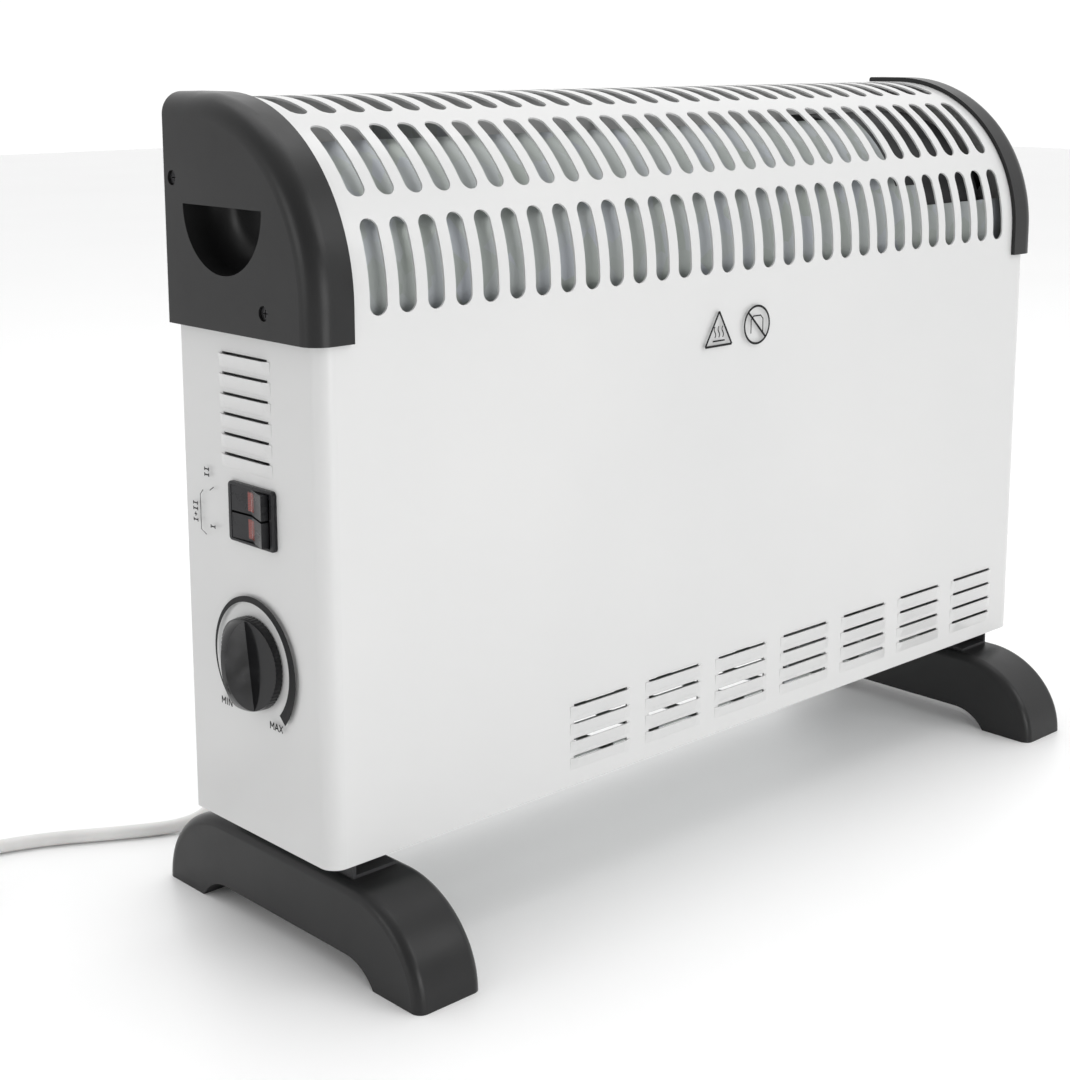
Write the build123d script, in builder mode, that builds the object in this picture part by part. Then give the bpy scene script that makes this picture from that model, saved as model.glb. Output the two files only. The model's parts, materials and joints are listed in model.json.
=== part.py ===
from build123d import *
import math
import os

# Free-standing fan convector heater, in millimetres.  +Z is up, the hot-air front faces -Y and
# the controls are on the -X end.  The origin is on the floor, under the middle of the whole
# appliance without its lead, so the casing's own middle stands at x = MID_X.

# ---- overall sizes -----------------------------------------------------------------------------
CASE_LENGTH = 520.0         # sheet casing, along X
CASE_BACK_Y = 52.0          # the casing is 104 deep
BOTTOM_Z = 53.0             # underside of the casing above the floor
HOOD_Y, HOOD_Z = 32.0, 298.5   # centre of the quarter-round hood, in side view
HOOD_R = 84.0               # outside of the hood sheet; its front stands at HOOD_Y - HOOD_R
SHEET = 1.0                 # casing sheet thickness
CORNER_R = 8.0              # bend between front and ends
CAP_HALF = 265.0            # end caps' outer faces from the casing's middle
KNOB_TIP = 277.0            # tip of the thermostat knob from the casing's middle
MID_X = (KNOB_TIP - CAP_HALF) / 2
HALF = CASE_LENGTH / 2
FRONT_Y = HOOD_Y - HOOD_R
TOP_Z = HOOD_Z + HOOD_R

# ---- outlet grille in the hood -----------------------------------------------------------------
SLOT_COUNT, SLOT_PITCH, SLOT_WIDTH = 30, 15.8, 9.5
SLOT_SPAN = 21.8            # degrees of hood between a slot's two end centres
ROW_ANGLES = (10.5, 45.6, 80.7)

# ---- pressed louvres ---------------------------------------------------------------------------
LOUVRE_LENGTH, LOUVRE_PITCH, LOUVRE_GROUPS = 41.0, 52.2, 7
LOUVRE_MID_X = 60.1         # middle of the seven groups from the casing's middle
LOUVRE_ROWS, LOUVRE_STEP, LOUVRE_LOW_Z = 4, 8.7, 67.0
LOUVRE_PROUD, LOUVRE_DROP = 1.7, 6.0
VENT_LENGTH, VENT_COUNT, VENT_STEP, VENT_LOW_Z, VENT_Y = 38.4, 6, 9.0, 227.5, 3.4

# ---- end caps ----------------------------------------------------------------------------------
CAP_WIDTH, CAP_WALL, CAP_ROUND = 21.1, 2.5, 10.0
CAP_BOTTOM_Z = 283.0
CAP_BACK_Y = CASE_BACK_Y + CAP_WALL
CAP_GAP = 0.15
HANDLE_Y, HANDLE_Z, HANDLE_R = 9.7, 337.0, 29.5
HANDLE_DEPTH, HANDLE_WALL, HANDLE_SCOOP = 22.0, 2.0, 12.0
CAP_SCREW_SPOTS = ((47.2, 347.7), (-19.4, 294.1))

# ---- back panel and bottom tray ----------------------------------------------------------------
BACK_FLANGE = 24.0
BACK_HALF, BACK_LOW_Z, BACK_HIGH_Z = 243.4, 57.0, 372.0
TRAY_RIM = 12.0
BACK_SCREW_X, BACK_SCREW_ROWS = (-239.0, 0.0, 239.0), (61.0, 215.0, 365.0)
BACK_SCREW_SPOTS = [(x, z) for x in BACK_SCREW_X for z in BACK_SCREW_ROWS if (x, z) != (0.0, 215.0)]

# ---- feet --------------------------------------------------------------------------------------
FOOT_X, FOOT_WIDTH = 232.0, 36.0
FOOT_REACH, FOOT_TOP_Z, FOOT_FLAT = 97.5, 43.5, 49.5
PAD_LENGTH, ARCH_Z, ARCH_HALF = 31.5, 10.5, 46.0
FOOT_ROUND = 5.0
BRACKET_WIDTH, BRACKET_LENGTH, BRACKET_SHEET = 24.0, 92.0, 1.5
FOOT_BOLT_Y, FOOT_BOLT_R = 32.0, 2.0

# ---- inner sheets ------------------------------------------------------------------------------
SHIELD_R, SHIELD_SHEET, SHIELD_LOW_Z, SHIELD_HALF = 77.0, 0.8, 100.0, 243.0
SHIELD_ANGLE = 58.0         # how far the shield follows the hood
SHIELD_STEP_X, SHIELD_NOTCH_X = 146.0, 165.0
SHIELD_STEP_ANGLE, SHIELD_NOTCH_ANGLE = 22.0, 13.0
BULKHEAD_X = -150.0
REAR_SHIELD_Y, REAR_SHIELD_LOW_Z, REAR_SHIELD_HIGH_Z = 44.0, 72.0, 352.0
INNER_BACK_Y = CASE_BACK_Y - 1.2    # inner sheets stop just short of the back panel

# ---- controls on the -X end --------------------------------------------------------------------
DIAL_Y, DIAL_Z = 1.3, 135.6
KNOB_R, KNOB_BASE, KNOB_GAP, KNOB_TURN = 21.2, 3.0, 0.6, 8.0
BLADE_ROOT, BLADE_TIP, BLADE_FOOT = 4.4, 1.6, 5.8   # half thicknesses, and where it leaves the disc
DISC_RIM = 3.3              # the disc's face falls to this at its rim
KNURLS, KNURL_R = 60, 0.6
KNOB_RECESS_R, KNOB_RECESS, KNOB_SOCKET = 9.6, 4.2, 8.6
SHAFT_R, BUSH_R, RUN_CLEAR = 3.0, 5.0, 0.05
SWITCH_Y, SWITCH_Z = -1.15, 203.0
BEZEL_HALF_Y, BEZEL_HALF_Z, BEZEL_PROUD = 17.0, 13.5, 2.2
ROCKER_HALF, ROCKER_HEIGHT, ROCKER_OFFSET = 13.5, 11.3, 6.15
ROCKER_PIVOT = 3.5          # pivot depth behind the casing's end face
ROCKER_TILT = 7.0
LENS_HALF_Z = 4.3
BODY_HALF_Y, BODY_HALF_Z, BODY_DEPTH = 15.7, 12.8, 20.0     # switch body behind the bezel
WELL_HALF_Y, WELL_HALF_Z, WELL_DEPTH = 14.5, 12.1, 13.0     # hollow that the rockers sit in
PIVOT_R = 1.0

# ---- fan at the +X end -------------------------------------------------------------------------
FAN_X, FAN_Y = 197.0, 2.0
FAN_R, HUB_R, BLADES = 37.0, 12.0, 5
FAN_LOW_Z, FAN_HIGH_Z = 112.0, 128.0
FAN_SHAFT_R = 2.0
BLADE_CHORD, BLADE_SHEET, BLADE_PITCH = 22.0, 1.6, 32.0
FAN_BOX_X, FAN_BOX_LENGTH, FAN_BOX_WALL = 150.0, 89.0, 2.0
FAN_BOX_R, FAN_BOX_ANGLE = 66.0, 12.0
FAN_BOX_FRONT_Y, FAN_BOX_BACK_Y, FAN_BOX_LOW_Z = -42.0, 43.0, 108.0
MOTOR_LOW_Z, MOTOR_HIGH_Z = 66.0, 98.0
MOTOR_HALF, MOTOR_CAN_R, MOTOR_COIL_X, MOTOR_COIL_R = 24.0, 15.0, 30.0, 11.0
MOUNT_HALF_Y, MOUNT_SHEET = 22.0, 1.5

# ---- heating element ---------------------------------------------------------------------------
BOARD_X = (-128.0, -42.0, 44.0, 130.0)
COIL_R = 2.6
LOWER_BANK_Z, UPPER_BANK_Z = 150.0, 186.0
BOARD_LOW_Z, BOARD_HIGH_Z, BOARD_HALF_Y = 132.0, 206.0, 38.0

# ---- mains lead --------------------------------------------------------------------------------
CORD_D = 6.8
GLAND_X, GLAND_Z, GLAND_END_Y = -162.0, 66.0, 76.0
CORD_ROUTE = (
    (-162.0, 76.0, 66.0), (-162.5, 94.0, 65.0), (-165.0, 112.0, 56.0), (-171.0, 125.0, 41.0),
    (-180.0, 132.5, 24.0), (-192.0, 137.0, 10.0), (-209.0, 142.5, 3.6), (-238.0, 155.0, 3.4),
    (-276.0, 167.5, 3.4), (-318.0, 184.0, 3.6), (-345.0, 190.3, 4.2), (-364.0, 191.7, 4.4),
)
COIL_X, COIL_Y, COIL_BASE_Z = -378.0, 147.0, 1.0
COIL_INNER, COIL_OUTER, COIL_HEIGHT = 27.7, 48.3, 13.0
TAIL_ROUTE = (
    (-419.4, 140.0, 10.3), (-420.2, 122.0, 12.0), (-421.4, 107.0, 16.0), (-422.0, 93.0, 18.6),
)
PLUG_X, PLUG_Z, PLUG_R = -422.0, 18.6, 18.5
PLUG_BACK_Y, PLUG_FACE_Y, PIN_TIP_Y = 75.0, 40.0, 21.0
PIN_R, PIN_SPACING = 2.4, 19.0


def on_case(x, y, z):
    """A point given from the casing's middle instead of the origin."""
    return (MID_X + x, y, z)


def hood_point(radius, degrees):
    """(y, z) on a circle round the hood's centre; 0 degrees faces the front."""
    turn = math.radians(degrees)
    return (HOOD_Y - radius * math.cos(turn), HOOD_Z + radius * math.sin(turn))


def hood_block(grow, half_length, low_z, back_y, end_round):
    """Solid with the heater's side outline, grown outwards, and rounded end edges."""
    radius = HOOD_R + grow
    with BuildPart() as block:
        with BuildSketch(Plane.YZ.offset(MID_X)):
            with BuildLine():
                Polyline(
                    (HOOD_Y, HOOD_Z + radius),
                    (back_y, HOOD_Z + radius),
                    (back_y, low_z),
                    (HOOD_Y - radius, low_z),
                    (HOOD_Y - radius, HOOD_Z),
                )
                CenterArc((HOOD_Y, HOOD_Z), radius, 90, 90)
            make_face()
        extrude(amount=half_length, both=True)
        rims = block.edges().filter_by(
            lambda e: abs(abs(e.center().X - MID_X) - half_length) < 0.01
            and e.center().Y < back_y - 0.01
            and e.center().Z > low_z + 0.01
        )
        fillet(rims, end_round)
    return block.part


def slot_cutter(middle):
    """One round-ended outlet slot, cut square to the hood."""
    low, high = middle - SLOT_SPAN / 2, middle + SLOT_SPAN / 2
    with BuildPart() as cutter:
        with BuildSketch(Plane.YZ.offset(MID_X)):
            Polygon(
                hood_point(HOOD_R - 6, low),
                hood_point(HOOD_R + 6, low),
                hood_point(HOOD_R + 6, high),
                hood_point(HOOD_R - 6, high),
                align=None,
            )
        extrude(amount=SLOT_WIDTH / 2, both=True)
        for angle in (low, high):
            y, z = hood_point(HOOD_R, angle)
            turn = math.radians(angle)
            with Locations(Plane((MID_X, y, z), z_dir=(0, -math.cos(turn), math.sin(turn)))):
                Cylinder(SLOT_WIDTH / 2, 12)
    return cutter.part


def louvre_press(length):
    """Bulge pushed out of a sheet facing -Y; its open lip is at z = 0."""
    shoulder = 4.0
    stations = (
        (-length / 2, 0.15),
        (-length / 2 + shoulder, 1.0),
        (length / 2 - shoulder, 1.0),
        (length / 2, 0.15),
    )
    with BuildPart() as press:
        for x, height in stations:
            with BuildSketch(Plane.YZ.offset(x)):
                Polygon((0.5, -LOUVRE_DROP), (0, -LOUVRE_DROP), (-LOUVRE_PROUD * height, 0),
                        (0.5, 0), align=None)
        loft(ruled=True)
    return press.part


def louvre_relief(length):
    """Hollow behind the bulge and the slit above its lip."""
    with BuildPart() as relief:
        with BuildSketch(Plane.YZ.offset(-length / 2 + 2.5)):
            Polygon((1.5, 1.0 - LOUVRE_DROP), (0.3, 1.0 - LOUVRE_DROP), (0.85 - LOUVRE_PROUD, 0),
                    (0.85 - LOUVRE_PROUD, 0.9), (1.5, 0.9), align=None)
        extrude(amount=length - 4.5)
    return relief.part


def half_disc(side, x, grow):
    """Finger-grip outline, flat side up, on a plane across the casing's end."""
    with BuildSketch(Plane.YZ.offset(MID_X + side * x)) as outline:
        with BuildLine():
            CenterArc((HANDLE_Y, HANDLE_Z), HANDLE_R, 180, 180)
            Line((HANDLE_Y - HANDLE_R, HANDLE_Z), (HANDLE_Y + HANDLE_R, HANDLE_Z))
        make_face()
        if grow:
            offset(amount=grow, kind=Kind.INTERSECTION)
    return outline.sketch


def prism(sketch, distance):
    """A sketch pushed out along X; a negative distance pushes it towards -X."""
    with BuildPart() as solid:
        extrude(sketch, amount=abs(distance), dir=(math.copysign(1, distance), 0, 0))
    return solid.part


def rod(start, end, radius):
    """Round bar between two points."""
    axis = Vector(*end) - Vector(*start)
    with BuildPart() as bar:
        with BuildSketch(Plane(origin=start, z_dir=axis)):
            Circle(radius)
        extrude(amount=axis.length)
    return bar.part


def block(low, high):
    """Box between two opposite corners."""
    size = [b - a for a, b in zip(low, high)]
    with BuildPart() as solid:
        with Locations(tuple((a + b) / 2 for a, b in zip(low, high))):
            Box(*size)
    return solid.part


# ---- front casing: one sheet bent into front, hood and both ends -------------------------------
with BuildPart() as front_casing:
    add(hood_block(0, HALF, BOTTOM_Z, CASE_BACK_Y, CORNER_R))
    add(hood_block(-SHEET, HALF - SHEET, BOTTOM_Z - 1, CASE_BACK_Y - SHEET, CORNER_R - SHEET),
        mode=Mode.SUBTRACT)
    opening_top = TOP_Z - BACK_FLANGE
    add(block(on_case(BACK_FLANGE - HALF, CASE_BACK_Y - 3, BOTTOM_Z - 1),
              on_case(HALF - BACK_FLANGE, CASE_BACK_Y + 3, opening_top)), mode=Mode.SUBTRACT)
    for row_angle in ROW_ANGLES:
        with GridLocations(SLOT_PITCH, 1, SLOT_COUNT, 1):
            add(slot_cutter(row_angle), mode=Mode.SUBTRACT)
    louvre_middle = (MID_X + LOUVRE_MID_X, FRONT_Y, LOUVRE_LOW_Z)
    for row in range(LOUVRE_ROWS):
        with Locations(Location((louvre_middle[0], FRONT_Y, LOUVRE_LOW_Z + row * LOUVRE_STEP))):
            with GridLocations(LOUVRE_PITCH, 1, LOUVRE_GROUPS, 1):
                add(louvre_press(LOUVRE_LENGTH))
    for row in range(LOUVRE_ROWS):
        with Locations(Location((louvre_middle[0], FRONT_Y, LOUVRE_LOW_Z + row * LOUVRE_STEP))):
            with GridLocations(LOUVRE_PITCH, 1, LOUVRE_GROUPS, 1):
                add(louvre_relief(LOUVRE_LENGTH), mode=Mode.SUBTRACT)
    vent_spots = [Location(on_case(-HALF, VENT_Y, VENT_LOW_Z + n * VENT_STEP), (0, 0, -90))
                  for n in range(VENT_COUNT)]
    with Locations(*vent_spots):
        add(louvre_press(VENT_LENGTH))
    with Locations(*vent_spots):
        add(louvre_relief(VENT_LENGTH), mode=Mode.SUBTRACT)
    # switch window, thermostat hole, finger-grip openings and cap screw holes
    add(block(on_case(-HALF - 2, SWITCH_Y - 15.9, SWITCH_Z - 13.0),
              on_case(-HALF + 3, SWITCH_Y + 15.9, SWITCH_Z + 13.0)), mode=Mode.SUBTRACT)
    add(rod(on_case(-HALF - 2, DIAL_Y, DIAL_Z), on_case(-HALF + 3, DIAL_Y, DIAL_Z), BUSH_R + 0.15),
        mode=Mode.SUBTRACT)
    for side in (-1, 1):
        add(prism(half_disc(side, HALF + 2, HANDLE_WALL + 1), -side * 5), mode=Mode.SUBTRACT)
        for y, z in CAP_SCREW_SPOTS:
            add(rod(on_case(side * (HALF + 2), y, z), on_case(side * (HALF - 3), y, z), 1.6),
                mode=Mode.SUBTRACT)
    for x, z in BACK_SCREW_SPOTS:
        add(rod(on_case(x, CASE_BACK_Y + 2, z), on_case(x, CASE_BACK_Y - 3, z), 1.6),
            mode=Mode.SUBTRACT)
front_casing.part.label = "front_casing"
export_step(front_casing.part, "parts/front_casing.step")

# ---- back panel --------------------------------------------------------------------------------
with BuildPart() as back_panel:
    add(block(on_case(-BACK_HALF, CASE_BACK_Y, BACK_LOW_Z),
              on_case(BACK_HALF, CASE_BACK_Y + SHEET, BACK_HIGH_Z)))
    corners = back_panel.edges().filter_by(Axis.Y)
    fillet(corners, 6)
    # wall-side inlet slots, low down, and two stiffening swages
    with BuildSketch(Plane.XZ.offset(-(CASE_BACK_Y + SHEET))):
        for z in (84.0, 98.0, 112.0):
            with Locations((MID_X + 26, z)):
                with GridLocations(46, 1, 8, 1):
                    SlotOverall(34, 5)
    extrude(amount=3, both=True, mode=Mode.SUBTRACT)
    with BuildSketch(Plane.XZ.offset(-(CASE_BACK_Y + SHEET))):
        for z in (175.0, 290.0):
            with Locations((MID_X, z)):
                SlotOverall(430, 12)
    extrude(amount=-1.2)
    for x, z in BACK_SCREW_SPOTS:
        add(rod(on_case(x, CASE_BACK_Y + 3, z), on_case(x, CASE_BACK_Y - 3, z), 1.6),
            mode=Mode.SUBTRACT)
    add(rod((GLAND_X, CASE_BACK_Y + 3, GLAND_Z), (GLAND_X, CASE_BACK_Y - 3, GLAND_Z), 6.0),
        mode=Mode.SUBTRACT)
back_panel.part.label = "back_panel"
export_step(back_panel.part, "parts/back_panel.step")

# ---- back panel screws -------------------------------------------------------------------------
with BuildPart() as back_screws:
    for x, z in BACK_SCREW_SPOTS:
        add(rod(on_case(x, CASE_BACK_Y + SHEET, z), on_case(x, CASE_BACK_Y + SHEET + 1.8, z), 3.0))
        add(rod(on_case(x, CASE_BACK_Y + SHEET, z), on_case(x, CASE_BACK_Y - 6, z), 1.5))
        add(block(on_case(x - 2.2, CASE_BACK_Y + SHEET + 1.0, z - 0.4),
                  on_case(x + 2.2, CASE_BACK_Y + SHEET + 2.5, z + 0.4)), mode=Mode.SUBTRACT)
        add(block(on_case(x - 0.4, CASE_BACK_Y + SHEET + 1.0, z - 2.2),
                  on_case(x + 0.4, CASE_BACK_Y + SHEET + 2.5, z + 2.2)), mode=Mode.SUBTRACT)
back_screws.part.label = "back_screws"
export_step(back_screws.part, "parts/back_screws.step")

# ---- bottom tray with inlet slots --------------------------------------------------------------
TRAY_HALF, TRAY_FRONT, TRAY_BACK = HALF - SHEET - 0.1, FRONT_Y + SHEET + 0.1, CASE_BACK_Y - SHEET - 0.1
FOOT_BOLT_SPOTS = [(side * FOOT_X, y) for side in (-1, 1) for y in (-FOOT_BOLT_Y, FOOT_BOLT_Y)]
with BuildPart() as bottom_tray:
    with BuildSketch(Plane.XY.offset(BOTTOM_Z)):
        with Locations((MID_X, (TRAY_FRONT + TRAY_BACK) / 2)):
            tray_outline = Rectangle(2 * TRAY_HALF, TRAY_BACK - TRAY_FRONT)
        fillet(tray_outline.vertices().group_by(Axis.Y)[0], CORNER_R - SHEET)
    extrude(amount=TRAY_RIM)
    with BuildSketch(Plane.XY.offset(BOTTOM_Z + SHEET)):
        with Locations((MID_X, (TRAY_FRONT + TRAY_BACK) / 2)):
            Rectangle(2 * (TRAY_HALF - SHEET), TRAY_BACK - TRAY_FRONT - 2 * SHEET)
    extrude(amount=TRAY_RIM, mode=Mode.SUBTRACT)
    with BuildSketch(Plane.XY.offset(BOTTOM_Z)):
        with Locations((MID_X, 0)):
            with GridLocations(34, 20, 12, 4):
                SlotOverall(26, 6)
    extrude(amount=3, both=True, mode=Mode.SUBTRACT)
    for x, y in FOOT_BOLT_SPOTS:
        add(rod(on_case(x, y, BOTTOM_Z - 2), on_case(x, y, BOTTOM_Z + 3), FOOT_BOLT_R + 0.2),
            mode=Mode.SUBTRACT)
    for x in BACK_SCREW_X:
        add(rod(on_case(x, CASE_BACK_Y + 2, 61), on_case(x, CASE_BACK_Y - 3, 61), 1.6),
            mode=Mode.SUBTRACT)
    add(block((GLAND_X - 9, TRAY_BACK - 2 * SHEET, GLAND_Z - 9),
              (GLAND_X + 9, TRAY_BACK + 1, GLAND_Z + 9)), mode=Mode.SUBTRACT)
bottom_tray.part.label = "bottom_tray"
export_step(bottom_tray.part, "parts/bottom_tray.step")


# ---- moulded end caps with a finger grip -------------------------------------------------------
def grip_cavity(side):
    """Scooped finger hollow, open at the cap's outer face."""
    with BuildPart() as cavity:
        add(prism(half_disc(side, CAP_HALF + 1, 0), -side * (HANDLE_DEPTH + 1)))
        floor_edge = cavity.edges().filter_by(
            lambda e: abs(e.center().X - MID_X - side * (CAP_HALF - HANDLE_DEPTH)) < 0.01
            and e.center().Z < HANDLE_Z - 1
        )
        fillet(floor_edge, HANDLE_SCOOP)
    return cavity.part


def end_cap(side):
    """Cap over one end of the hood; side is -1 or +1 along X."""
    with BuildPart() as cap:
        add(hood_block(CAP_WALL, CAP_HALF, CAP_BOTTOM_Z, CAP_BACK_Y, CAP_ROUND))
        with Locations(on_case(side * (CAP_HALF - CAP_WIDTH / 2), 0, HOOD_Z)):
            Box(CAP_WIDTH, 4 * HOOD_R, 4 * HOOD_R, mode=Mode.INTERSECT)
        back_rim = cap.edges().filter_by(
            lambda e: abs(e.center().Y - CAP_BACK_Y) < 0.01 and abs(e.center().X - MID_X) > CAP_HALF - 11
            and e.center().Z > CAP_BOTTOM_Z + 1
        )
        fillet(back_rim, 1.5)
        add(hood_block(CAP_GAP, HALF + CAP_GAP, CAP_BOTTOM_Z - 5, CASE_BACK_Y + CAP_GAP,
                       CORNER_R + CAP_GAP), mode=Mode.SUBTRACT)
        add(prism(half_disc(side, HALF + 3, HANDLE_WALL),
                  -side * (HALF + 3 - CAP_HALF + HANDLE_DEPTH + HANDLE_WALL)))
        add(grip_cavity(side), mode=Mode.SUBTRACT)
        for y, z in CAP_SCREW_SPOTS:
            add(rod(on_case(side * (CAP_HALF + 1), y, z), on_case(side * (CAP_HALF - 3.2), y, z), 3.3),
                mode=Mode.SUBTRACT)
            add(rod(on_case(side * CAP_HALF, y, z), on_case(side * (HALF - 1), y, z), 1.7),
                mode=Mode.SUBTRACT)
    return cap.part


with BuildPart() as left_end_cap:
    add(end_cap(-1))
left_end_cap.part.label = "left_end_cap"
export_step(left_end_cap.part, "parts/left_end_cap.step")

with BuildPart() as right_end_cap:
    add(end_cap(1))
right_end_cap.part.label = "right_end_cap"
export_step(right_end_cap.part, "parts/right_end_cap.step")

with BuildPart() as cap_screws:
    for side in (-1, 1):
        for y, z in CAP_SCREW_SPOTS:
            seat = side * (CAP_HALF - 3.2)
            add(rod(on_case(seat, y, z), on_case(seat + side * 2.0, y, z), 2.9))
            add(rod(on_case(seat, y, z), on_case(seat - side * 8.0, y, z), 1.5))
            with Locations(on_case(seat + side * 2.0, y, z)):
                Box(2.0, 3.6, 0.7, mode=Mode.SUBTRACT)
                Box(2.0, 0.7, 3.6, mode=Mode.SUBTRACT)
cap_screws.part.label = "cap_screws"
export_step(cap_screws.part, "parts/cap_screws.step")


# ---- arched feet, brackets and bolts -----------------------------------------------------------
def foot(side):
    """Arched foot running front to back under one end."""
    pad_inner = FOOT_REACH - PAD_LENGTH
    with BuildPart() as arch:
        with BuildSketch(Plane.YZ.offset(MID_X + side * FOOT_X)):
            with BuildLine():
                Line((-FOOT_FLAT, FOOT_TOP_Z), (FOOT_FLAT, FOOT_TOP_Z))
                EllipticalCenterArc((FOOT_FLAT, 0), FOOT_REACH - FOOT_FLAT, FOOT_TOP_Z, 0, arc_size=90)
                Line((FOOT_REACH, 0), (pad_inner, 0))
                ThreePointArc((pad_inner, 0), (pad_inner - 7, 6.9), (ARCH_HALF, ARCH_Z))
                Line((ARCH_HALF, ARCH_Z), (-ARCH_HALF, ARCH_Z))
                ThreePointArc((-ARCH_HALF, ARCH_Z), (7 - pad_inner, 6.9), (-pad_inner, 0))
                Line((-pad_inner, 0), (-FOOT_REACH, 0))
                EllipticalCenterArc((-FOOT_FLAT, 0), FOOT_REACH - FOOT_FLAT, FOOT_TOP_Z, 90, arc_size=90)
            make_face()
        extrude(amount=FOOT_WIDTH / 2, both=True)
        upper = arch.edges().filter_by(
            lambda e: abs(abs(e.center().X - MID_X - side * FOOT_X) - FOOT_WIDTH / 2) < 0.01
            and (e.center().Z > FOOT_TOP_Z / 2 or abs(e.center().Y) > FOOT_REACH - 20 and e.center().Z > 1)
        )
        fillet(upper, FOOT_ROUND)
        for y in (-FOOT_BOLT_Y, FOOT_BOLT_Y):
            add(rod(on_case(side * FOOT_X, y, FOOT_TOP_Z - 24), on_case(side * FOOT_X, y, FOOT_TOP_Z + 1),
                    FOOT_BOLT_R + 0.1), mode=Mode.SUBTRACT)
    return arch.part


def foot_bracket(side):
    """Folded channel between a foot and the tray, open towards the middle."""
    with BuildPart() as channel:
        with BuildSketch(Plane.XZ.offset(-BRACKET_LENGTH / 2)):
            with Locations((MID_X + side * FOOT_X, (FOOT_TOP_Z + BOTTOM_Z) / 2)):
                Rectangle(BRACKET_WIDTH, BOTTOM_Z - FOOT_TOP_Z)
            with Locations((MID_X + side * (FOOT_X - BRACKET_SHEET), (FOOT_TOP_Z + BOTTOM_Z) / 2)):
                Rectangle(BRACKET_WIDTH, BOTTOM_Z - FOOT_TOP_Z - 2 * BRACKET_SHEET, mode=Mode.SUBTRACT)
        extrude(amount=BRACKET_LENGTH)
        for y in (-FOOT_BOLT_Y, FOOT_BOLT_Y):
            add(rod(on_case(side * FOOT_X, y, FOOT_TOP_Z - 2), on_case(side * FOOT_X, y, BOTTOM_Z + 2),
                    FOOT_BOLT_R + 0.2), mode=Mode.SUBTRACT)
    return channel.part


with BuildPart() as left_foot:
    add(foot(-1))
left_foot.part.label = "left_foot"
export_step(left_foot.part, "parts/left_foot.step")

with BuildPart() as right_foot:
    add(foot(1))
right_foot.part.label = "right_foot"
export_step(right_foot.part, "parts/right_foot.step")

with BuildPart() as left_foot_bracket:
    add(foot_bracket(-1))
left_foot_bracket.part.label = "left_foot_bracket"
export_step(left_foot_bracket.part, "parts/left_foot_bracket.step")

with BuildPart() as right_foot_bracket:
    add(foot_bracket(1))
right_foot_bracket.part.label = "right_foot_bracket"
export_step(right_foot_bracket.part, "parts/right_foot_bracket.step")

with BuildPart() as foot_bolts:
    for x, y in FOOT_BOLT_SPOTS:
        head_z = BOTTOM_Z + SHEET
        with BuildSketch(Plane(on_case(x, y, head_z))):
            RegularPolygon(4.6, 6)
        extrude(amount=3)
        add(rod(on_case(x, y, head_z), on_case(x, y, FOOT_TOP_Z - 22), FOOT_BOLT_R))
foot_bolts.part.label = "foot_bolts"
export_step(foot_bolts.part, "parts/foot_bolts.step")

# ---- heat shield close behind the grille -------------------------------------------------------
with BuildPart() as front_heat_shield:
    with BuildSketch(Plane.YZ.offset(MID_X - SHIELD_HALF)):
        with BuildLine():
            inner_r = SHIELD_R - SHIELD_SHEET
            Polyline(hood_point(inner_r, 0), (HOOD_Y - inner_r, SHIELD_LOW_Z),
                     (HOOD_Y - SHIELD_R, SHIELD_LOW_Z), hood_point(SHIELD_R, 0))
            CenterArc((HOOD_Y, HOOD_Z), SHIELD_R, 180, -SHIELD_ANGLE)
            Line(hood_point(SHIELD_R, SHIELD_ANGLE), hood_point(inner_r, SHIELD_ANGLE))
            CenterArc((HOOD_Y, HOOD_Z), inner_r, 180, -SHIELD_ANGLE)
        make_face()
    extrude(amount=2 * SHIELD_HALF)
    step_z = hood_point(SHIELD_R, SHIELD_STEP_ANGLE)[1]
    notch_z = hood_point(SHIELD_R, SHIELD_NOTCH_ANGLE)[1]
    add(block(on_case(SHIELD_STEP_X, -60, step_z), on_case(SHIELD_HALF + 1, 60, 400)),
        mode=Mode.SUBTRACT)
    add(block(on_case(SHIELD_NOTCH_X, -60, notch_z), on_case(SHIELD_HALF + 1, 60, 400)),
        mode=Mode.SUBTRACT)
front_heat_shield.part.label = "front_heat_shield"
export_step(front_heat_shield.part, "parts/front_heat_shield.step")

with BuildPart() as rear_heat_shield:
    add(block(on_case(BULKHEAD_X + 2, REAR_SHIELD_Y, REAR_SHIELD_LOW_Z),
              on_case(SHIELD_STEP_X - 2, REAR_SHIELD_Y + SHIELD_SHEET, REAR_SHIELD_HIGH_Z)))
    add(block(on_case(BULKHEAD_X + 2, REAR_SHIELD_Y, REAR_SHIELD_HIGH_Z - SHIELD_SHEET),
              on_case(SHIELD_STEP_X - 2, INNER_BACK_Y, REAR_SHIELD_HIGH_Z)))
rear_heat_shield.part.label = "rear_heat_shield"
export_step(rear_heat_shield.part, "parts/rear_heat_shield.step")

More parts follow.
